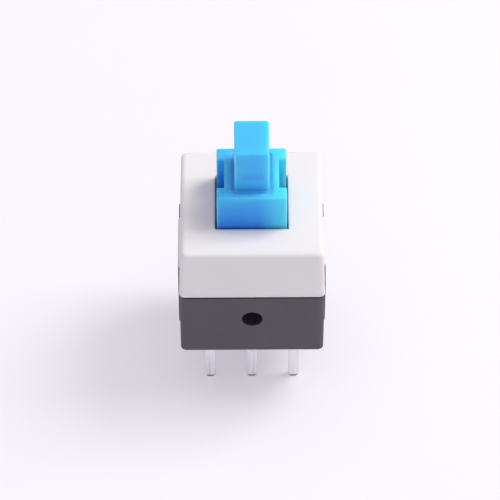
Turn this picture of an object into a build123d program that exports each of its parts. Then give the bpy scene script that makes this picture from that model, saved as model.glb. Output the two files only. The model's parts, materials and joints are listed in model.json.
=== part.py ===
import math
import os

from build123d import *

# Self-locking push switch with six solder pins. Millimetres, +Z up, X along the pin rows, -Y to the front.
# The origin is the middle of the base's underside, which seats on the circuit board.

# Overall
body_width = 8.5
base_height = 4.9
cover_height = 3.55
travel = 2.2
overrun = 0.5

# Base moulding
base_setback = 0.02
base_wall = 0.98
floor_thickness = 0.9
base_corner_radius = 0.35
base_foot_chamfer = 0.1
joint_height = 0.14
joint_depth = 0.12
spigot_height = 0.45
spigot_clearance = 0.05
core_hole_diameter = 1.2
core_hole_height = 2.92
spring_boss_diameter = 0.9
spring_boss_height = 0.6
post_side_margin = 0.3
post_depth = 0.35
panel_length = 6.3
panel_bottom = 1.5
panel_lead = 0.08
panel_setback = 0.04

# Cover moulding
cover_wall = 0.6
cover_top_wall = 0.9
cover_inset = 0.12
cover_corner_radius = 0.32
cover_edge_radius = 0.28
opening_clearance = 0.1

# Snap arms of the cover and the lugs of the base that they catch
arm_width = 3.7
arm_thickness = 0.5
arm_proud = 0.1
arm_drop = 1.4
arm_lead = 0.25
arm_pad_rise = 0.35
arm_pad_blend = 0.25
arm_clearance = 0.02
recess_clearance = 0.05
lug_width = 1.4
lug_drop = 1.0
lug_height = 0.5
lug_nose = 0.12
lug_reach = 0.4
lug_clearance = 0.05

# Plunger
block_width_share = 0.4765
block_depth_share = 0.4706
block_rise = 2.5
groove_length_share = 0.55
groove_depth = 0.45
rim_depth = 0.12
moat_side = 0.2
moat_corner_radius = 0.3
rim_width = 0.3
block_edge_radius = 0.1
block_corner_radius = 0.12
stem_width = 2.0
stem_depth = 2.7
stem_rise = 3.0
stem_corner_radius = 0.15
stem_top_radius = 0.12
flange_side_lip = 0.675
flange_front_lip = 0.5
flange_thickness = 0.7
skirt_side_inset = 0.275
skirt_front_inset = 0.3
skirt_floor_gap = 0.2
bar_wall_gap = 0.5
bar_height = 1.0
bar_bottom = 4.3
bar_root = 0.55
bar_proud = 0.05
peg_diameter = 0.4
peg_place_share = 0.52
peg_head_diameter = 0.66
peg_head_height = 0.12
peg_clearance = 0.025

# Return spring
spring_diameter = 1.7
spring_wire = 0.2
spring_turns = 6
spring_wire_sides = 6
spring_bore_clearance = 0.1
spring_bore_roof = 0.3

# Lock pin, its pivot boss and the heart cam
pin_wire = 0.3
pin_bend_radius = 0.3
pin_pivot_height = 1.35
pin_length = 2.6
pin_shank_gap = 0.15
pin_tip_gap = 0.1
pivot_boss_gap = 0.2
pivot_boss_width = 1.2
pivot_boss_height = 1.0
pivot_leg_reach = 0.7
pivot_clearance = 0.05
lane_clearance = 0.05
cam_swing = 0.8
cam_floor_wall = 0.25
cam_latch_travel = 1.5
cam_margin = 0.25
heart_shoulder = 0.12
tooth_drop = 0.42
tooth_half_width = 0.38
tooth_offset = 0.1

# Leaf spring behind the lock pin
leaf_thickness = 0.12
leaf_width = 1.2
leaf_bend_radius = 0.08
leaf_wall_gap = 0.02
leaf_tab_height = 4.25
leaf_tab_reach = 0.3
leaf_flat_length = 0.75
leaf_tail_drop = 0.35
leaf_boss_gap = 0.2
leaf_end_flare = 0.12
leaf_slot_clearance = 0.02

# Moving contacts
contact_sheet = 0.15
contact_end_margin = 0.25
contact_margin = 0.05
contact_finger_width = 0.4
contact_finger_inset = 0.2
contact_bend_radius = 0.2
contact_gap = 0.05
contact_apex_drop = 0.45
contact_tail_drop = 0.9
contact_tail_inset = 0.4

# Terminals
blade_wall_gap = 0.25
terminal_sheet = 0.3
solder_pin_width = 0.6
solder_pin_length = 4.0
solder_pin_taper = 0.15
blade_width = 1.0
blade_top = 4.5
closed_contact_bottom = 3.3
open_contact_top = 2.9
terminal_foot_height = 0.3
flag_stem_width = 0.35
terminal_slot_clearance = 0.02

# Places worked out from the sizes above
half_body = body_width / 2
cover_top = base_height + cover_height
cover_underside = cover_top - cover_top_wall
cover_inner_half = half_body - cover_wall
base_half = half_body - base_setback
cavity_half = base_half - base_wall
block_width = body_width * block_width_share
block_depth = body_width * block_depth_share
groove_length = block_depth * groove_length_share
moat_front = (block_depth - stem_depth) / 2 - rim_width
flange_width = block_width + 2 * flange_side_lip
flange_depth = block_depth + 2 * flange_front_lip
skirt_width = block_width - 2 * skirt_side_inset
skirt_depth = block_depth - 2 * skirt_front_inset
arm_outer = half_body + arm_proud
arm_inner = arm_outer - arm_thickness
arm_bottom = base_height - arm_drop
arm_pad_top = base_height + arm_pad_rise
lug_bottom = base_height - lug_drop
recess_floor = arm_inner - arm_clearance
panel_outer = arm_outer - panel_setback
joint_bottom = base_height - joint_height
joint_half = base_half - joint_depth
block_top = cover_top + block_rise
stem_top = block_top + stem_rise
flange_bottom = cover_underside - flange_thickness
skirt_bottom = floor_thickness + travel + skirt_floor_gap
skirt_side = skirt_width / 2
bar_face = skirt_depth / 2 + bar_proud
bar_inner = skirt_depth / 2 - bar_root
bar_length = 2 * (cavity_half - bar_wall_gap)
contact_length = bar_length - 2 * contact_end_margin
bore_top = flange_bottom - spring_bore_roof
row_place = cavity_half - post_depth - terminal_sheet / 2
terminal_pitch = cavity_half - blade_wall_gap - blade_width / 2
contact_finger_pitch = terminal_pitch - contact_finger_inset
peg_offset = contact_finger_pitch * peg_place_share
blade_face = row_place - terminal_sheet / 2
blade_back = row_place + terminal_sheet / 2
pin_shank_place = skirt_side + pin_shank_gap + pin_wire / 2
pin_tip_height = pin_pivot_height + pin_length
cam_floor = spring_diameter / 2 + spring_bore_clearance + cam_floor_wall
pivot_boss_face = pin_shank_place + pin_wire / 2 + pivot_boss_gap
leaf_knee_height = leaf_tab_height - leaf_flat_length
pivot_boss_top = floor_thickness + pivot_boss_height
leaf_end_height = pivot_boss_top + leaf_boss_gap
leaf_touch_height = leaf_end_height + leaf_tail_drop
cutter = body_width + overrun


def span(x_range, y_range, z_range):
    sizes = [high - low for low, high in (x_range, y_range, z_range)]
    corner = Pos(x_range[0], y_range[0], z_range[0])
    return corner * Box(*sizes, align=(Align.MIN, Align.MIN, Align.MIN))


def upright(sketch, low, high):
    return extrude(Pos(0, 0, low) * sketch, amount=high - low)


def along_x(points, low, high):
    return extrude(Plane.YZ.offset(low) * Polygon(*points, align=None), amount=high - low)


def along_y(points, half_width):
    return extrude(Plane.XZ * Polygon(*points, align=None), amount=half_width, both=True)


def bent_sheet(plane, points, bend_radius, thickness, width):
    path = FilletPolyline(*points, radius=bend_radius)
    section = trace(path, line_width=thickness)
    return extrude(plane * section, amount=width / 2, both=True)


def bent_wire(points, bend_radius, wire):
    path = FilletPolyline(*points, radius=bend_radius)
    return sweep(Plane(origin=path @ 0, z_dir=path % 0) * Circle(wire / 2), path=path)


def both_sides(piece, plane):
    return piece + mirror(piece, about=plane)


# Outline of a terminal in its own flat plane, from the pin's tip up to the contact blade
def terminal_outline(centre, blade_points):
    left = centre - solder_pin_width / 2
    right = centre + solder_pin_width / 2
    tip = -solder_pin_length
    pin = [
        (left, floor_thickness),
        (left, tip + solder_pin_taper),
        (left + solder_pin_taper, tip),
        (right - solder_pin_taper, tip),
        (right, tip + solder_pin_taper),
        (right, floor_thickness),
    ]
    return pin + blade_points


def terminal(centre, blade_points):
    outline = Polygon(*terminal_outline(centre, blade_points), align=None)
    return extrude(Plane.XZ.offset(blade_face) * outline, amount=terminal_sheet)


def common_terminal():
    half = blade_width / 2
    blade = [(half, floor_thickness), (half, blade_top), (-half, blade_top), (-half, floor_thickness)]
    return terminal(0, blade)


# Normally open: a low blade that the finger reaches only when the plunger is down
def open_terminal():
    inner = terminal_pitch - blade_width / 2
    outer = terminal_pitch + blade_width / 2
    blade = [
        (outer, floor_thickness),
        (outer, open_contact_top),
        (inner, open_contact_top),
        (inner, floor_thickness),
    ]
    return terminal(terminal_pitch, blade)


# Normally closed: a flag on an outer stem, clear of the finger when the plunger is down
def closed_terminal():
    inner = blade_width / 2 - terminal_pitch
    outer = -blade_width / 2 - terminal_pitch
    stem_side = outer + flag_stem_width
    foot_top = floor_thickness + terminal_foot_height
    blade = [
        (inner, floor_thickness),
        (inner, foot_top),
        (stem_side, foot_top),
        (stem_side, closed_contact_bottom),
        (inner, closed_contact_bottom),
        (inner, blade_top),
        (outer, blade_top),
        (outer, floor_thickness),
    ]
    return terminal(-terminal_pitch, blade)


# Wedge lugs that the windows of the snap arms catch
def snap_lug():
    nose = recess_floor + lug_reach
    points = [
        (cavity_half, lug_bottom),
        (nose, lug_bottom),
        (nose, lug_bottom + lug_nose),
        (recess_floor, lug_bottom + lug_height),
        (cavity_half, lug_bottom + lug_height),
    ]
    return along_y(points, lug_width / 2)


# Raised panel on each side of the base, just behind the face of the snap arm that lies in its middle
def side_panel():
    points = [
        (recess_floor, panel_bottom),
        (base_half, panel_bottom),
        (panel_outer, panel_bottom + panel_lead),
        (panel_outer, base_height - panel_lead),
        (panel_outer - panel_lead, base_height),
        (recess_floor, base_height),
    ]
    return along_y(points, panel_length / 2)


def base():
    outer = upright(RectangleRounded(2 * base_half, 2 * base_half, base_corner_radius), 0, joint_bottom)
    outer = chamfer(outer.edges().group_by(Axis.Z)[0], base_foot_chamfer)
    # the joint under the cover is a small step all round
    outer += upright(Rectangle(2 * joint_half, 2 * joint_half), joint_bottom, base_height)
    spigot_width = 2 * (cover_inner_half - spigot_clearance)
    outer += upright(Rectangle(spigot_width, spigot_width), floor_thickness, base_height + spigot_height)
    outer += both_sides(side_panel(), Plane.YZ)
    cavity = (-cavity_half, cavity_half)
    body = outer - span(cavity, cavity, (floor_thickness, base_height + spigot_height + overrun))
    recess_half = arm_width / 2 + recess_clearance
    recess = span(
        (recess_floor, cutter),
        (-recess_half, recess_half),
        (arm_bottom - recess_clearance, base_height),
    )
    body -= both_sides(recess, Plane.YZ)
    body += both_sides(snap_lug(), Plane.YZ)
    post_half = blade_width / 2 + post_side_margin
    for place in (-terminal_pitch, 0, terminal_pitch):
        post_low = max(place - post_half, -cavity_half)
        post_high = min(place + post_half, cavity_half)
        post = span((post_low, post_high), (-cavity_half, -blade_back), (floor_thickness, blade_top))
        body += both_sides(post, Plane.XZ)
        slot_half = solder_pin_width / 2 + terminal_slot_clearance
        slot = span(
            (place - slot_half, place + slot_half),
            (-blade_back - terminal_slot_clearance, terminal_slot_clearance - blade_face),
            (-overrun, floor_thickness),
        )
        body -= both_sides(slot, Plane.XZ)
    body += upright(Circle(spring_boss_diameter / 2), floor_thickness, floor_thickness + spring_boss_height)
    hole = extrude(
        Plane.XZ.offset(blade_back) * Pos(0, core_hole_height) * Circle(core_hole_diameter / 2),
        amount=cutter,
    )
    body -= both_sides(hole, Plane.XZ)
    body += span(
        (pivot_boss_face, cavity_half),
        (-pivot_boss_width / 2, pivot_boss_width / 2),
        (floor_thickness, pivot_boss_top),
    )
    pivot_end = pivot_boss_face + pivot_leg_reach + pivot_clearance
    pivot_hole = Plane.YZ * Pos(0, pin_pivot_height) * Circle(pin_wire / 2 + pivot_clearance)
    body -= extrude(pivot_hole, amount=pivot_end)
    tab_half = leaf_thickness / 2 + leaf_slot_clearance
    leaf_half = leaf_width / 2 + leaf_slot_clearance
    body -= span(
        (cavity_half - overrun, cavity_half + leaf_tab_reach + leaf_slot_clearance),
        (-leaf_half, leaf_half),
        (leaf_tab_height - tab_half, leaf_tab_height + tab_half),
    )
    return body


# One arm with the pad that blends it into the side wall, and the window for the lug
def snap_arm():
    points = [
        (arm_inner, arm_bottom + arm_lead),
        (arm_inner + arm_lead, arm_bottom),
        (arm_outer, arm_bottom),
        (arm_outer, arm_pad_top - arm_pad_blend),
        (half_body - cover_inset, arm_pad_top),
        (arm_inner, arm_pad_top),
    ]
    window_half = lug_width / 2 + lug_clearance
    window = span(
        (0, cutter),
        (-window_half, window_half),
        (lug_bottom - lug_clearance, lug_bottom + lug_height + lug_clearance),
    )
    return along_y(points, arm_width / 2) - window


def cover():
    top_width = body_width - 2 * cover_inset
    foot = Pos(0, 0, base_height) * RectangleRounded(body_width, body_width, cover_corner_radius)
    head = Pos(0, 0, cover_top) * RectangleRounded(top_width, top_width, cover_corner_radius)
    shell = loft([foot, head])
    shell = fillet(shell.edges().group_by(Axis.Z)[-1], cover_edge_radius)
    shell += both_sides(snap_arm(), Plane.YZ)
    inside = 2 * cover_inner_half
    shell -= upright(Rectangle(inside, inside), base_height, cover_underside)
    opening = Rectangle(block_width + 2 * opening_clearance, block_depth + 2 * opening_clearance)
    return shell - upright(opening, cover_underside - overrun, cover_top + overrun)


# Heart island, with the notch that the lock pin rests in while the switch is latched
def heart_points():
    lane = (pin_wire / 2 + lane_clearance) / math.cos(math.atan2(cam_swing, travel))
    slope = cam_swing / travel
    point_rise = lane / slope
    shoulder_rise = cam_latch_travel + heart_shoulder
    shoulder = slope * shoulder_rise - lane
    notch_rise = cam_latch_travel - pin_wire / 2 - lane_clearance
    outline = [(0, point_rise), (shoulder, shoulder_rise), (0, notch_rise), (-shoulder, shoulder_rise)]
    return [(across, pin_tip_height + rise) for across, rise in outline]


# Pocket of the heart cam in the plunger's right side, as the piece that is cut away
def cam_pocket():
    lane = pin_wire / 2 + lane_clearance
    wide = cam_swing + lane
    low = pin_tip_height - cam_margin
    high = pin_tip_height + travel + cam_margin
    flank = pin_tip_height + travel - lane
    outline = [(-lane, low), (lane, low), (wide, flank), (wide, high), (-wide, high), (-wide, flank)]
    tooth = [
        (tooth_offset - tooth_half_width, high),
        (tooth_offset, high - tooth_drop),
        (tooth_offset + tooth_half_width, high),
    ]
    pocket = along_x(outline, cam_floor, skirt_side)
    return pocket - along_x(heart_points(), cam_floor, skirt_side) - along_x(tooth, cam_floor, skirt_side)


# Bar that carries a moving contact on two staked pegs
def contact_bar():
    bar = span(
        (-bar_length / 2, bar_length / 2),
        (-bar_face, -bar_inner),
        (bar_bottom, bar_bottom + bar_height),
    )
    for side in (-peg_offset, peg_offset):
        centre = Pos(side, bar_bottom + bar_height / 2)
        bar += extrude(Plane.XZ.offset(bar_face) * centre * Circle(peg_diameter / 2), amount=contact_sheet)
        head = Plane.XZ.offset(bar_face + contact_sheet) * centre * Circle(peg_head_diameter / 2)
        bar += extrude(head, amount=peg_head_height)
    return bar


def plunger():
    outline = RectangleRounded(block_width, block_depth, block_corner_radius)
    block = upright(outline, cover_underside, block_top)
    moat = RectangleRounded(stem_width + 2 * moat_side, stem_depth + 2 * moat_front, moat_corner_radius)
    groove = span(
        (block_width / 2 - groove_depth, cutter),
        (-groove_length / 2, groove_length / 2),
        (cover_underside, block_top + overrun),
    )
    block -= both_sides(groove, Plane.YZ)
    block = fillet(block.faces().sort_by(Axis.Z)[-1].edges(), block_edge_radius)
    block -= upright(moat, block_top - rim_depth, block_top + overrun)
    stem = upright(RectangleRounded(stem_width, stem_depth, stem_corner_radius), block_top - rim_depth, stem_top)
    stem = fillet(stem.edges().group_by(Axis.Z)[-1], stem_top_radius)
    skirt = upright(Rectangle(skirt_width, skirt_depth), skirt_bottom, flange_bottom)
    body = block + stem + skirt
    body += upright(Rectangle(flange_width, flange_depth), flange_bottom, cover_underside)
    body += both_sides(contact_bar(), Plane.XZ)
    bore = Circle(spring_diameter / 2 + spring_bore_clearance)
    body -= upright(bore, skirt_bottom - overrun, bore_top)
    return body - cam_pocket()


# Coil whose wire has flats, lying between the base's floor and the roof of the plunger's bore
def return_spring():
    radius = (spring_diameter - spring_wire) / 2
    height = bore_top - floor_thickness - spring_wire
    path = Helix(pitch=height / spring_turns, height=height, radius=radius)
    section = RegularPolygon(spring_wire / 2, side_count=spring_wire_sides)
    wire = sweep(Plane(origin=path @ 0, z_dir=path % 0) * section, path=path)
    return Pos(0, 0, floor_thickness + spring_wire / 2) * wire


def lock_pin():
    points = [
        (pivot_boss_face + pivot_leg_reach, 0, pin_pivot_height),
        (pin_shank_place, 0, pin_pivot_height),
        (pin_shank_place, 0, pin_tip_height),
        (cam_floor + pin_tip_gap, 0, pin_tip_height),
    ]
    return bent_wire(points, pin_bend_radius, pin_wire)


def pin_spring():
    flat_place = cavity_half - leaf_wall_gap - leaf_thickness / 2
    touch_place = pin_shank_place + pin_wire / 2 + leaf_thickness
    points = [
        (cavity_half + leaf_tab_reach, leaf_tab_height),
        (flat_place, leaf_tab_height),
        (flat_place, leaf_knee_height),
        (touch_place, leaf_touch_height),
        (touch_place + leaf_end_flare, leaf_end_height),
    ]
    return bent_sheet(Plane.XZ, points, leaf_bend_radius, leaf_thickness, leaf_width)


# Bridge contact of the front pole: a flat strip on the bar with three bowed fingers below it
def bridge_contact():
    strip_low = bar_bottom + contact_margin
    strip_high = bar_bottom + bar_height - contact_margin
    strip = span(
        (-contact_length / 2, contact_length / 2),
        (-bar_face - contact_sheet, -bar_face),
        (strip_low, strip_high),
    )
    for side in (-peg_offset, peg_offset):
        centre = Pos(side, bar_bottom + bar_height / 2)
        hole = Plane.XZ.offset(bar_face) * centre * Circle(peg_diameter / 2 + peg_clearance)
        strip -= extrude(hole, amount=contact_sheet)
    sheet_place = -bar_face - contact_sheet / 2
    apex_place = contact_gap + contact_sheet / 2 - blade_face
    points = [
        (sheet_place, strip_low + contact_bend_radius),
        (sheet_place, strip_low),
        (apex_place, strip_low - contact_apex_drop),
        (apex_place + contact_tail_inset, strip_low - contact_tail_drop),
    ]
    for place in (-contact_finger_pitch, 0, contact_finger_pitch):
        finger = bent_sheet(Plane.YZ, points, contact_bend_radius, contact_sheet, contact_finger_width)
        strip += Pos(place, 0, 0) * finger
    return strip


terminals = {"left": closed_terminal(), "common": common_terminal(), "right": open_terminal()}
front_contact = bridge_contact()

pieces = {
    "base": base(),
    "cover": cover(),
    "plunger": plunger(),
    "return_spring": return_spring(),
    "lock_pin": lock_pin(),
    "pin_spring": pin_spring(),
    "contact_front": front_contact,
    "contact_rear": mirror(front_contact, about=Plane.XZ),
}
for place, piece in terminals.items():
    pieces[f"terminal_front_{place}"] = piece
    pieces[f"terminal_rear_{place}"] = mirror(piece, about=Plane.XZ)

os.makedirs("parts", exist_ok=True)
for node, piece in pieces.items():
    export_step(piece, f"parts/{node}.step")
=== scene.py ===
import json
import math

import bpy
import numpy as np
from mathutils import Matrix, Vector


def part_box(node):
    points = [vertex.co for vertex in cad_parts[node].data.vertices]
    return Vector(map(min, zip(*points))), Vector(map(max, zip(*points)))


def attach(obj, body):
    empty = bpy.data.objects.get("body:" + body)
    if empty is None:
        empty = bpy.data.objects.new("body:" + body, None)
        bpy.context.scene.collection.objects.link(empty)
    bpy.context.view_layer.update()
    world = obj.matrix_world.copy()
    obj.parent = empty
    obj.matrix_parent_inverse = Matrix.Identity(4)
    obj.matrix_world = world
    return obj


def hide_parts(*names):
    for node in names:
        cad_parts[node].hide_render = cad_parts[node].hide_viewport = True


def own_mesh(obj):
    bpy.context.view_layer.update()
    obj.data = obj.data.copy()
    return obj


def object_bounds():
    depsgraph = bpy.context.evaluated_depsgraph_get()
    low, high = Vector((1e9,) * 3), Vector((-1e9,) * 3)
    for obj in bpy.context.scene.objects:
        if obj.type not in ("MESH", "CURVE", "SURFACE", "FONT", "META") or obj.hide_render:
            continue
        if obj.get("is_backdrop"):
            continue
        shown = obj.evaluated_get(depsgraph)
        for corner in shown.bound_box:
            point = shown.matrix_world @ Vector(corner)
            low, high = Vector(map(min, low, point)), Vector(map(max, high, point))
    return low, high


# Self-locking push switch, dressed on its CAD frame. Metres, +Z up, -Y to the front.
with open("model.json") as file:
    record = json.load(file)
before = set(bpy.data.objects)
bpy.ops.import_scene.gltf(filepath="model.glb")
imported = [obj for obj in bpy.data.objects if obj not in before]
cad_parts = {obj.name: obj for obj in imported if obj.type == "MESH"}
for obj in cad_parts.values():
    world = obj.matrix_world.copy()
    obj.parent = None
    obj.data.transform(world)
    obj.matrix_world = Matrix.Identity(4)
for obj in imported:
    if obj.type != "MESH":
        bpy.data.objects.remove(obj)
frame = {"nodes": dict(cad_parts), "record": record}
cadLow, cadHigh = (list(map(float, corner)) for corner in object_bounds())
scene = bpy.context.scene
scene.view_settings.view_transform = "Standard"
mm = 0.001
nodeStep = (190, 160)  # spacing of the nodes in the editor
print("stage 1: frame loaded,", len(frame["nodes"]), "nodes")


# a number, vector or colour is set on the socket, and anything else is an output to link to it
def feed(tree, socket, value):
    if isinstance(value, (int, float, tuple)):
        socket.default_value = value
    else:
        tree.links.new(value, socket)


def addNode(tree, kind, place=(0, 0), **settings):
    node = tree.nodes.new(kind)
    node.location = (place[0] * nodeStep[0], place[1] * nodeStep[1])
    for key, value in settings.items():
        setattr(node, key, value)
    return node


def setInputs(tree, node, **values):
    for key, value in values.items():
        feed(tree, node.inputs[key.replace("_", " ")], value)
    return node


def mathNode(tree, operation, first, second=0.0, place=(0, 0), clamp=False):
    node = addNode(tree, "ShaderNodeMath", place, operation=operation, use_clamp=clamp)
    feed(tree, node.inputs[0], first)
    feed(tree, node.inputs[1], second)
    return node.outputs[0]


# value goes from outLow to outHigh as source goes from low to high, held at both ends
def rampValue(tree, source, low, high, outLow=0.0, outHigh=1.0, place=(0, 0), smooth=True):
    node = addNode(tree, "ShaderNodeMapRange", place)
    node.interpolation_type = "SMOOTHSTEP" if smooth else "LINEAR"
    setInputs(tree, node, Value=source, From_Min=low, From_Max=high, To_Min=outLow, To_Max=outHigh)
    return node.outputs["Result"]


def mixColour(tree, factor, first, second, place=(0, 0)):
    node = addNode(tree, "ShaderNodeMix", place, data_type="RGBA")
    for slot, value in ((0, factor), (6, first), (7, second)):  # 6 and 7 are its colour sockets
        feed(tree, node.inputs[slot], value)
    return node.outputs[2]


def scaleColour(tree, colour, tone, place=(-1, 1)):
    node = addNode(tree, "ShaderNodeVectorMath", place, operation="SCALE")
    feed(tree, node.inputs[0], colour)
    feed(tree, node.inputs["Scale"], tone)
    return node.outputs[0]


# a node group with its sockets: the kind of an input follows from its default
def newGroup(name, inputs, outputs):
    group = bpy.data.node_groups.new(name, "ShaderNodeTree")
    for label, default in inputs.items():
        kind = "NodeSocketVector" if isinstance(default, tuple) else "NodeSocketFloat"
        socket = group.interface.new_socket(label, in_out="INPUT", socket_type=kind)
        socket.default_value = default
    for label, kind in outputs.items():
        group.interface.new_socket(label, in_out="OUTPUT", socket_type=kind)
    start = addNode(group, "NodeGroupInput", (-4, 0))
    end = addNode(group, "NodeGroupOutput", (4, 0))
    return group, start.outputs, end


def placeGroup(tree, group, place, **values):
    node = addNode(tree, "ShaderNodeGroup", place, node_tree=group)
    return setInputs(tree, node, **values).outputs


# scales are in cells per metre
skinLook = {
    "pebbleScale": 9000.0, "pebbleDetail": 2.0, "pebbleRough": 0.6, "cloudScale": 420.0, "cloudDetail": 3.0,
    "cloudRough": 0.55, "noiseMean": 0.5, "toneSpread": 0.06, "glossSpread": 0.1,
}


# spark-eroded mould skin: a fine pebble height, a cloudy tone around 1 and a gloss shift around 0
def makeMouldSkin(look):
    group, given, end = newGroup(
        "mouldSkin",
        {
            "Vector": (0, 0, 0), "Pebble Scale": look["pebbleScale"],
            "Tone Spread": look["toneSpread"], "Gloss Spread": look["glossSpread"],
        },
        {"Tone": "NodeSocketFloat", "Gloss": "NodeSocketFloat", "Height": "NodeSocketFloat"},
    )
    pebble = addNode(group, "ShaderNodeTexNoise", (-2, 1))
    setInputs(
        group, pebble, Vector=given["Vector"], Scale=given["Pebble Scale"],
        Detail=look["pebbleDetail"], Roughness=look["pebbleRough"],
    )
    cloud = addNode(group, "ShaderNodeTexNoise", (-2, -1))
    setInputs(
        group, cloud, Vector=given["Vector"], Scale=look["cloudScale"],
        Detail=look["cloudDetail"], Roughness=look["cloudRough"],
    )
    drift = mathNode(group, "SUBTRACT", cloud.outputs["Fac"], look["noiseMean"], (-1, -1))
    tone = mathNode(group, "MULTIPLY", drift, given["Tone Spread"], (0, -1))
    shift = mathNode(group, "SUBTRACT", pebble.outputs["Fac"], look["noiseMean"], (-1, 0))
    gloss = mathNode(group, "MULTIPLY", shift, given["Gloss Spread"], (0, 0))
    setInputs(
        group, end, Tone=mathNode(group, "ADD", tone, 1.0, (1, -1)), Gloss=gloss, Height=pebble.outputs["Fac"]
    )
    return group


lineLook = {
    "lineScale": 5000.0, "stretch": (1, 1, 0.03), "detail": 3.0, "rough": 0.65,
    "noiseRange": (0.25, 0.75), "toneRange": (0.86, 1.06),
}


# fine hairlines along Z, for drawn wire and rolled strip
def makeDrawLines(look):
    group, given, end = newGroup(
        "drawLines",
        {"Vector": (0, 0, 0), "Line Scale": look["lineScale"]},
        {"Tone": "NodeSocketFloat", "Height": "NodeSocketFloat"},
    )
    stretch = addNode(group, "ShaderNodeMapping", (-3, 0))
    setInputs(group, stretch, Vector=given["Vector"], Scale=look["stretch"])
    lines = addNode(group, "ShaderNodeTexNoise", (-2, 0))
    setInputs(
        group, lines, Vector=stretch.outputs["Vector"], Scale=given["Line Scale"],
        Detail=look["detail"], Roughness=look["rough"],
    )
    tone = rampValue(group, lines.outputs["Fac"], *look["noiseRange"], *look["toneRange"], (0, 1))
    setInputs(group, end, Tone=tone, Height=lines.outputs["Fac"])
    return group


# sharp and flat are cosines of the turn
edgeLook = {"radius": 0.1 * mm, "sharp": 0.8, "flat": 0.99, "samples": 6}


# one where the surface turns within the radius, zero on the flat, and the softened normal of the turn
def makeEdgeTurn(look):
    group, given, end = newGroup(
        "edgeTurn",
        {"Radius": look["radius"], "Sharp": look["sharp"], "Flat": look["flat"]},
        {"Mask": "NodeSocketFloat", "Normal": "NodeSocketVector"},
    )
    soft = addNode(group, "ShaderNodeBevel", (-2, 1), samples=look["samples"])
    setInputs(group, soft, Radius=given["Radius"])
    plain = addNode(group, "ShaderNodeNewGeometry", (-2, -1))
    turn = addNode(group, "ShaderNodeVectorMath", (-1, 0), operation="DOT_PRODUCT")
    feed(group, turn.inputs[0], soft.outputs[0])
    feed(group, turn.inputs[1], plain.outputs["Normal"])
    mask = rampValue(group, turn.outputs["Value"], given["Flat"], given["Sharp"], 0.0, 1.0, (1, 0))
    setInputs(group, end, Mask=mask, Normal=soft.outputs[0])
    return group


mouldSkin = makeMouldSkin(skinLook)
drawLines = makeDrawLines(lineLook)
edgeTurn = makeEdgeTurn(edgeLook)


# a material with its Principled shader and Object coordinates
def startMaterial(name):
    material = bpy.data.materials.new(name)
    material.use_nodes = True
    tree = material.node_tree
    shader = tree.nodes["Principled BSDF"]
    place = addNode(tree, "ShaderNodeTexCoord", (-8, 0)).outputs["Object"]
    return material, tree, shader, place


# X, Y and Z of a place, as three outputs
def splitAxes(tree, place):
    axes = addNode(tree, "ShaderNodeSeparateXYZ", (-7, -2))
    feed(tree, axes.inputs[0], place)
    return axes.outputs


def bumpFrom(tree, shader, height, strength, distance, normal):
    bump = addNode(tree, "ShaderNodeBump", (-1, -3))
    setInputs(tree, bump, Strength=strength, Distance=distance, Height=height, Normal=normal)
    setInputs(tree, shader, Normal=bump.outputs[0])


# one moulded plastic: written colour, cloudy tone, lighter edges as a painted highlight, pebbled skin
def mouldedPlastic(name, look, shade=None):
    material, tree, shader, place = startMaterial(name)
    skin = placeGroup(
        tree, mouldSkin, (-6, 0), Vector=place, Pebble_Scale=look["pebbleScale"],
        Tone_Spread=look["toneSpread"], Gloss_Spread=look["glossSpread"],
    )
    sharp, flat = look["edgeRange"]
    edge = placeGroup(tree, edgeTurn, (-6, 3), Radius=look["edgeRadius"], Sharp=sharp, Flat=flat)
    # painted highlight: the colour turns lighter where the surface turns at an edge
    edgeLit = mixColour(tree, edge["Mask"], look["colour"], look["edgeHighlightColour"], (-3, 1))
    colour = scaleColour(tree, edgeLit, skin["Tone"], (-2, 1))
    if shade is not None:
        colour = shade(tree, splitAxes(tree, place), colour, look)
    gloss = mathNode(tree, "ADD", skin["Gloss"], look["roughness"], (-3, -1), clamp=True)
    setInputs(
        tree, shader, Base_Color=colour, Roughness=gloss,
        IOR=look["ior"], Specular_IOR_Level=look["specular"], Subsurface_Weight=look["glow"],
        Subsurface_Radius=look["glowRadius"], Subsurface_Scale=look["glowScale"],
    )
    bumpFrom(tree, shader, skin["Height"], look["bump"], look["bumpDepth"], edge["Normal"])
    return material


# glow is the light that goes under the skin, with its reach in red, green and blue; the edge colour is a
# painted highlight on turning edges
coverLook = {
    "colour": (0.84, 0.812, 0.8, 1), "edgeHighlightColour": (0.9, 0.88, 0.865, 1), "edgeRadius": 0.2 * mm,
    "edgeRange": (0.8, 0.99), "pebbleScale": 7000.0, "toneSpread": 0.05, "glossSpread": 0.12,
    "roughness": 0.48, "ior": 1.46, "specular": 0.4, "glow": 0.12, "glowRadius": (1.0, 0.95, 0.9),
    "glowScale": 0.5 * mm, "bump": 0.12, "bumpDepth": 0.03 * mm,
}

baseLook = {
    "colour": (0.081, 0.076, 0.096, 1), "edgeHighlightColour": (0.12, 0.115, 0.14, 1), "edgeRadius": 0.08 * mm,
    "edgeRange": (0.8, 0.99), "pebbleScale": 5200.0, "toneSpread": 0.16, "glossSpread": 0.2,
    "roughness": 0.58, "ior": 1.5, "specular": 0.45, "glow": 0.0, "glowRadius": (1, 1, 1),
    "glowScale": 0.1 * mm, "bump": 0.45, "bumpDepth": 0.05 * mm,
    "holeRadius": 0.62 * mm, "holeFade": 0.02 * mm, "holeHeight": 2.92 * mm, "holeTone": 0.4,
    "jointHeight": 4.77 * mm, "jointDepth": 0.04 * mm, "jointTone": 0.8,
}


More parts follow.
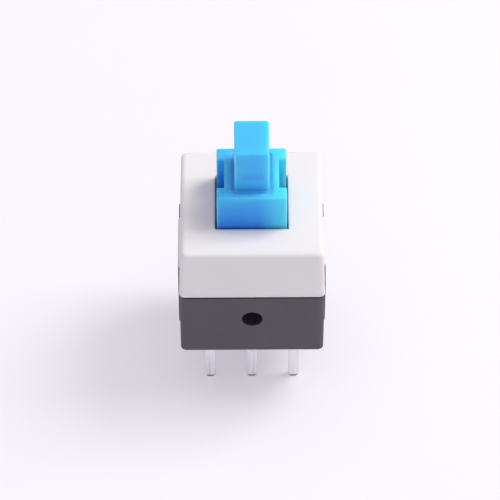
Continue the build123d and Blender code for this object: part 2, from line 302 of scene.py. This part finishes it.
# darker in the round core holes, by distance from their axis along Y, and in the joint under the cover
def holeShade(tree, axes, colour, look):
    rise = mathNode(tree, "SUBTRACT", axes[2], look["holeHeight"], (-6, -3))
    across = mathNode(tree, "MULTIPLY", axes[0], axes[0], (-6, -4))
    square = mathNode(tree, "MULTIPLY", rise, rise, (-5, -3))
    radius = mathNode(tree, "SQRT", mathNode(tree, "ADD", across, square, (-4, -3)), place=(-3, -3))
    inside = look["holeRadius"] - look["holeFade"]
    tone = rampValue(tree, radius, inside, look["holeRadius"], look["holeTone"], 1.0, (-2, -3))
    jointLow = look["jointHeight"] - look["jointDepth"]
    joint = rampValue(tree, axes[2], jointLow, look["jointHeight"], 1.0, look["jointTone"], (-2, -4))
    return scaleColour(tree, colour, mathNode(tree, "MULTIPLY", tone, joint, (-1, -4)))


plungerLook = {
    "colour": (0.075, 0.54, 1.0, 1), "edgeHighlightColour": (0.3, 0.72, 1.0, 1), "edgeRadius": 0.15 * mm,
    "edgeRange": (0.75, 0.985), "pebbleScale": 6500.0, "toneSpread": 0.1, "glossSpread": 0.14,
    "roughness": 0.38, "ior": 1.48, "specular": 0.28, "glow": 0.9, "glowRadius": (0.25, 0.6, 0.7),
    "glowScale": 1.6 * mm, "bump": 0.14, "bumpDepth": 0.03 * mm,
    "shadeColour": (0.018, 0.2, 0.95, 1), "shadeLow": 8.3 * mm, "shadeHigh": 11.2 * mm, "shadeShare": 0.85,
    "litSideColour": (0.1, 0.8, 1.0, 1), "litSideLow": 0.2 * mm, "litSideHigh": 1.7 * mm, "litSideShare": 0.6,
    "bleedColour": (0.34, 0.42, 0.5, 1), "bleedShare": 0.45, "frontBleed": 0.08,
    "bleedFront": -2.0 * mm, "bleedFade": 0.1 * mm,
    "shadeBandHeight": 12.05 * mm, "shadeBandHalf": 0.5 * mm, "shadeBandCore": 0.45 * mm, "shadeBandReach": 0.9 * mm,
    "shadeBandFront": -1.3 * mm, "shadeBandShare": 0.32,
    "cornerHighlightColour": (0.24, 0.72, 1.0, 1), "cornerHighlightShare": 0.6, "cornerReach": 0.16 * mm,
    "stemHalf": (1.0 * mm, 1.35 * mm), "blockHalf": (2.025 * mm, 2.0 * mm), "stemFoot": 10.96 * mm,
}


# painted shade: a faint dark band in Z across the front of the stem, above its foot, fading out to both sides
def stemShadeBand(tree, axes, colour, look):
    rise = mathNode(tree, "SUBTRACT", axes[2], look["shadeBandHeight"], (-6, -7))
    away = mathNode(tree, "ABSOLUTE", rise, place=(-5, -7))
    band = rampValue(tree, away, 0.0, look["shadeBandHalf"], 1.0, 0.0, (-4, -7))
    aside = mathNode(tree, "ABSOLUTE", axes[0], place=(-5, -8))
    reach = rampValue(tree, aside, look["shadeBandCore"], look["shadeBandReach"], look["shadeBandShare"], 0.0, (-4, -8))
    front = mathNode(tree, "LESS_THAN", axes[1], look["shadeBandFront"], (-4, -9))
    spot = mathNode(tree, "MULTIPLY", band, reach, (-3, -7))
    bandShade = mathNode(tree, "MULTIPLY", spot, front, (-2, -7))
    return mixColour(tree, bandShade, colour, look["shadeColour"], (-1, 5))


# painted highlight in the upright corners of the block, and of the stem above its foot: one where X and Y
# both come near their half sizes
def cornerHighlight(tree, axes, colour, look):
    aside = mathNode(tree, "ABSOLUTE", axes[0], place=(-6, -10))
    along = mathNode(tree, "ABSOLUTE", axes[1], place=(-6, -11))
    corners = []
    for row, (halfX, halfY) in enumerate((look["stemHalf"], look["blockHalf"])):
        nearX = rampValue(tree, aside, halfX - look["cornerReach"], halfX, place=(-5, -10 - 2 * row))
        nearY = rampValue(tree, along, halfY - look["cornerReach"], halfY, place=(-5, -11 - 2 * row))
        corners.append(mathNode(tree, "MULTIPLY", nearX, nearY, (-4, -10 - 2 * row)))
    onStem = mathNode(tree, "GREATER_THAN", axes[2], look["stemFoot"], (-4, -14))
    stemCorner = mathNode(tree, "MULTIPLY", corners[0], onStem, (-3, -10))
    corner = mathNode(tree, "MAXIMUM", stemCorner, corners[1], (-3, -12))
    share = mathNode(tree, "MULTIPLY", corner, look["cornerHighlightShare"], (-2, -10))
    return mixColour(tree, share, colour, look["cornerHighlightColour"], (-1, 6))


# painted shade: the plunger turns a darker blue low down, most of all in the cover's opening; painted light:
# it turns paler towards its right side, where the key lamp stands; and what its sides throw back on the cover
# is greyer than what is seen of them
def paintedLightAndShade(tree, axes, colour, look):
    # painted shade: a darker blue lower down, fading out above the block's top
    lowShade = rampValue(
        tree, axes[2], look["shadeLow"], look["shadeHigh"], look["shadeShare"], 0.0, (-4, -4), smooth=False
    )
    # painted light: paler towards the right side, where the key lamp stands, with less of the painted shade
    # there
    sideLight = rampValue(tree, axes[0], look["litSideLow"], look["litSideHigh"], 0.0, look["litSideShare"], (-4, -5))
    unlit = mathNode(tree, "SUBTRACT", 1.0, sideLight, (-3, -5))
    share = mathNode(tree, "MULTIPLY", lowShade, unlit, (-2, -4))
    shadedBlue = mixColour(tree, share, colour, look["shadeColour"], (-1, 1))
    sideLit = mixColour(tree, sideLight, shadedBlue, look["litSideColour"], (-1, 2))
    path = addNode(tree, "ShaderNodeLightPath", (-2, 3))
    front = look["bleedFront"]
    behind = front + look["bleedFade"]
    limit = rampValue(tree, axes[1], front, behind, look["frontBleed"], look["bleedShare"], (-2, 4))
    bleed = mathNode(tree, "MULTIPLY", path.outputs["Is Diffuse Ray"], limit, (-1, 3))
    limited = mixColour(tree, bleed, sideLit, look["bleedColour"], (-1, 4))
    banded = stemShadeBand(tree, axes, limited, look)
    return cornerHighlight(tree, axes, banded, look)


metalLooks = {
    "tinPlate": {
        "colour": (0.98, 0.97, 0.99, 1), "tipColour": (0.3, 0.28, 0.31, 1), "tip": -3.9 * mm,
        "roughness": 0.42, "metallic": 0.55, "lineScale": 4200.0, "bump": 0.2,
    },
    "springSteel": {
        "colour": (0.58, 0.58, 0.6, 1), "roughness": 0.28, "metallic": 1.0,
        "lineScale": 5200.0, "bump": 0.12,
    },
    "contactBronze": {
        "colour": (0.72, 0.47, 0.24, 1), "roughness": 0.33, "metallic": 1.0,
        "lineScale": 4600.0, "bump": 0.12,
    },
}
metalSkin = {
    "edgeRadius": 0.04 * mm, "bumpDepth": 0.02 * mm, "tipFade": 0.08 * mm,
    "noiseRange": (0.2, 0.8), "roughShift": (-0.06, 0.08),
}


# drawn or rolled metal: hairlines along Z, and a dark sheared tip where it has one: bare core and painted
# contact shadow
def drawnMetal(name, look):
    material, tree, shader, place = startMaterial(name)
    lines = placeGroup(tree, drawLines, (-6, 0), Vector=place, Line_Scale=look["lineScale"])
    edge = placeGroup(tree, edgeTurn, (-3, -3), Radius=metalSkin["edgeRadius"])
    colour = look["colour"][:3]
    if "tip" in look:
        height = splitAxes(tree, place)[2]
        # the tip is darkened for its bare cut metal and for a painted contact shadow where it meets the floor
        bareTipAndShadow = rampValue(tree, height, look["tip"], look["tip"] + metalSkin["tipFade"], 1.0, 0.0, (-5, -2))
        colour = mixColour(tree, bareTipAndShadow, look["colour"], look["tipColour"], (-3, 1))
    smoothest, roughest = (look["roughness"] + shift for shift in metalSkin["roughShift"])
    rough = rampValue(tree, lines["Height"], *metalSkin["noiseRange"], smoothest, roughest, (-3, -1))
    setInputs(
        tree, shader, Base_Color=scaleColour(tree, colour, lines["Tone"], (-2, 1)), Roughness=rough,
        Metallic=look["metallic"],
    )
    bumpFrom(tree, shader, lines["Height"], look["bump"], metalSkin["bumpDepth"], edge["Normal"])
    return material


finishes = {
    "cover_plastic": mouldedPlastic("coverWhite", coverLook),
    "base_plastic": mouldedPlastic("baseGrey", baseLook, holeShade),
    "plunger_plastic": mouldedPlastic("plungerBlue", plungerLook, paintedLightAndShade),
    "tin_plate": drawnMetal("tinPlate", metalLooks["tinPlate"]),
    "spring_steel": drawnMetal("springSteel", metalLooks["springSteel"]),
    "contact_bronze": drawnMetal("contactBronze", metalLooks["contactBronze"]),
}
for entry in frame["record"]["subparts"]:
    node = frame["nodes"][entry["node"]]
    node.data.materials.clear()
    node.data.materials.append(finishes[entry["material_slot"]])


# shared by the new pieces: a grid of points, wrapped round its columns and capped at its first and last row
def gridPiece(name, grid, body, slotName):
    rows, columns = grid.shape[:2]
    ring = np.arange(columns)
    first = (np.arange(rows - 1)[:, None] * columns + ring).ravel()
    second = (np.arange(rows - 1)[:, None] * columns + (ring + 1) % columns).ravel()
    quads = np.stack([first, second, second + columns, first + columns], axis=1).tolist()
    caps = [ring[::-1].tolist(), (ring + (rows - 1) * columns).tolist()]
    mesh = bpy.data.meshes.new(name)
    mesh.from_pydata(grid.reshape(-1, 3).tolist(), [], quads + caps)
    mesh.polygons.foreach_set("use_smooth", [True] * len(quads) + [False] * len(caps))
    mesh.materials.append(finishes[slotName])
    piece = bpy.data.objects.new(name, mesh)
    scene.collection.objects.link(piece)
    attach(piece, body)
    return piece


coilLook = {
    "wire": 0.2 * mm, "across": 1.5 * mm, "turns": 6, "deadTurns": 1, "stepsPerTurn": 40, "sides": 12,
    "pressed": 2.2 * mm,
}


# round wire on a helix: angle grows evenly, height climbs one wire per dead end turn and evenly between them;
# the wire's circle lies in the radius and the normal to the path
def makeCoil(look):
    low, high = (np.array(corner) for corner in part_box("return_spring"))
    wire, turns = look["wire"] / 2, look["turns"]
    span = high[2] - low[2] - look["wire"]
    turn = np.linspace(0, turns, turns * look["stepsPerTurn"] + 1)
    dead = look["deadTurns"]
    rise = np.interp(turn, [0, dead, turns - dead, turns], [0, look["wire"], span - look["wire"], span])
    angle = 2 * math.pi * turn
    radial = np.stack([np.cos(angle), np.sin(angle), np.zeros_like(angle)], axis=1)
    path = radial * look["across"] / 2 + np.array([0, 0, 1]) * (rise + low[2] + wire)[:, None]
    tangent = np.gradient(path, axis=0)
    normal = np.cross(tangent, radial)
    normal /= np.linalg.norm(normal, axis=1)[:, None]
    around = np.linspace(0, 2 * math.pi, look["sides"], endpoint=False)
    circle = np.cos(around)[None, :, None] * radial[:, None] + np.sin(around)[None, :, None] * normal[:, None]
    coil = gridPiece("returnCoil", path[:, None] + wire * circle, "housing", "spring_steel")
    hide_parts("return_spring")
    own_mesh(coil)


makeCoil(coilLook)

markLook = {
    "pip": {"profile": [(0.3, -0.01), (0.27, 0.015), (0.2, 0.02), (0.16, 0.035), (0.05, 0.03)], "sides": 28},
    "ring": {"profile": [(0.52, -0.005), (0.49, 0.006), (0.46, 0.006), (0.43, 0.002)], "sides": 36},
    "coverGate": {"height": 6.3 * mm, "foot": 4.9 * mm, "wallInset": 0.12 * mm, "wallHeight": 3.55 * mm},
    "ejector": {"across": 1.25 * mm, "along": 1.1 * mm},
}


# a profile of radius and rise, in millimetres, turned about an axis through centre: columns go round it
def turnedMark(name, look, centre, axis, body, slotName):
    profile = np.array(look["profile"]) * mm
    axis = np.array(axis, float) / np.linalg.norm(axis)
    side = np.cross(axis, (1.0, 0.0, 0.0))
    side /= np.linalg.norm(side)
    angle = np.linspace(0, 2 * math.pi, look["sides"], endpoint=False)
    spoke = np.cos(angle)[:, None] * side + np.sin(angle)[:, None] * np.cross(axis, side)
    grid = profile[:, None, :1] * spoke[None] + profile[:, None, 1:] * axis + np.array(centre)
    return gridPiece(name, grid, body, slotName)


def makeMarks(look):
    gate = look["coverGate"]
    draft = gate["wallInset"] / gate["wallHeight"]  # how far the cover's wall leans in as it rises
    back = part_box("cover")[1][1] - draft * (gate["height"] - gate["foot"])
    place = (0, back, gate["height"])
    turnedMark("coverGate", look["pip"], place, (0, 1, draft), "housing", "cover_plastic")
    spot = look["ejector"]
    corners = (("frontLeft", -1, -1), ("frontRight", 1, -1), ("rearLeft", -1, 1), ("rearRight", 1, 1))
    for name, signX, signY in corners:
        centre = (signX * spot["across"], signY * spot["along"], 0.0)
        turnedMark(name + "EjectorMark", look["ring"], centre, (0, 0, -1), "housing", "base_plastic")


makeMarks(markLook)
print("stage 3: coil and moulding marks")

# pale table top, level with the pin tips
floorLook = {
    "half": 0.6, "cells": 8, "colour": (0.93, 0.915, 0.95), "roughness": 0.7, "specular": 0.2,
    "grainScale": 900.0, "toneSpread": 0.015, "glossSpread": 0.05,
    "underlight": 0.44, "underColour": (0.95, 0.915, 1.0, 1),
}


# floor grid: x and y run evenly from -half to half, z is the lowest point of the frame
def makeFloor(look):
    cells = look["cells"]
    line = np.linspace(-look["half"], look["half"], cells + 1)
    gridX, gridY = np.meshgrid(line, line)
    points = np.stack([gridX.ravel(), gridY.ravel(), np.full(gridX.size, cadLow[2])], axis=1)
    corner = (np.arange(cells)[:, None] * (cells + 1) + np.arange(cells)).ravel()
    faces = np.stack([corner, corner + 1, corner + cells + 2, corner + cells + 1], axis=1)
    mesh = bpy.data.meshes.new("paleFloor")
    mesh.from_pydata(points.tolist(), [], faces.tolist())
    mesh.materials.append(floorPaper(look))
    floor = bpy.data.objects.new("paleFloor", mesh)
    scene.collection.objects.link(floor)
    floor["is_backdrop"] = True


# part of the paper's white comes from below, as on a light table, and only where it is seen
def floorPaper(look):
    material, tree, shader, place = startMaterial("floorPaper")
    grain = placeGroup(
        tree, mouldSkin, (-6, 0), Vector=place, Pebble_Scale=look["grainScale"],
        Tone_Spread=look["toneSpread"], Gloss_Spread=look["glossSpread"],
    )
    colour = scaleColour(tree, look["colour"], grain["Tone"], (-2, 1))
    rough, gleam = look["roughness"], look["specular"]
    setInputs(tree, shader, Base_Color=colour, Roughness=rough, Specular_IOR_Level=gleam)
    path = addNode(tree, "ShaderNodeLightPath", (-4, 3)).outputs
    seen = mathNode(tree, "MAXIMUM", path["Is Camera Ray"], path["Is Glossy Ray"], (-3, 3))
    seen = mathNode(tree, "MAXIMUM", seen, path["Is Transmission Ray"], (-2, 3))
    share = mathNode(tree, "MULTIPLY", seen, look["underlight"], (-1, 3))
    under = setInputs(tree, addNode(tree, "ShaderNodeEmission", (0, 3)), Color=look["underColour"])
    mix = addNode(tree, "ShaderNodeMixShader", (2, 2))
    for slot, value in enumerate((share, shader.outputs[0], under.outputs[0])):
        feed(tree, mix.inputs[slot], value)
    feed(tree, tree.nodes["Material Output"].inputs["Surface"], mix.outputs[0])
    return material


makeFloor(floorLook)

# from is a direction, power is in watts
lightLook = {
    "key": {
        "from": (1.0, 0.33, 1.5), "distance": 0.32, "size": 0.14,
        "power": 0.63, "colour": (1.0, 0.995, 0.965),
    },
    "top": {
        "from": (0.0, 0.1, 1.0), "distance": 0.42, "size": 0.4,
        "power": 0.43, "colour": (0.99, 0.985, 0.985),
    },
    "front": {
        "from": (0.1, -1.0, 0.35), "distance": 0.4, "size": 0.3,
        "power": 0.162, "colour": (0.88, 0.885, 1.0),
    },
}
skyLook = {"colour": (0.93, 0.88, 1.0, 1), "strength": 0.43}


def addLamp(name, look):
    lamp = bpy.data.lights.new(name, "AREA")
    lamp.energy = look["power"]
    lamp.size = look["size"]
    lamp.color = look["colour"]
    holder = bpy.data.objects.new(name, lamp)
    heading = Vector(look["from"]).normalized()
    holder.location = heading * look["distance"]
    holder.rotation_euler = heading.to_track_quat("Z", "Y").to_euler()
    scene.collection.objects.link(holder)


def addSky(look):
    world = bpy.data.worlds.new("studio")
    scene.world = world
    world.use_nodes = True
    sky = world.node_tree.nodes["Background"]
    setInputs(world.node_tree, sky, Color=look["colour"], Strength=look["strength"])


for lampName, lampLook in lightLook.items():
    addLamp(lampName + "Lamp", lampLook)
addSky(skyLook)
print("stage 4: floor, lamps and sky")

# camera at the photograph's viewing angle, square picture; angles in degrees, sensor in millimetres,
# lens from its focal length in pixels
cameraLook = {
    "aim": (-0.096 * mm, 0.0, 4.249 * mm), "elevation": 48.58, "azimuth": -0.41, "distance": 180 * mm,
    "sensor": 36, "focalPixels": 3037, "picturePixels": 500, "clipStart": 0.01,
}


def addCamera(look):
    camera = bpy.data.objects.new("photoCamera", bpy.data.cameras.new("photoCamera"))
    tilt, turn = math.radians(look["elevation"]), math.radians(look["azimuth"])
    heading = Vector((math.sin(turn) * math.cos(tilt), -math.cos(turn) * math.cos(tilt), math.sin(tilt)))
    camera.location = Vector(look["aim"]) + heading * look["distance"]
    camera.rotation_euler = heading.to_track_quat("Z", "Y").to_euler()
    camera.data.sensor_width = look["sensor"]
    camera.data.lens = look["sensor"] * look["focalPixels"] / look["picturePixels"]
    camera.data.clip_start = look["clipStart"]
    scene.collection.objects.link(camera)
    scene.camera = camera


addCamera(cameraLook)
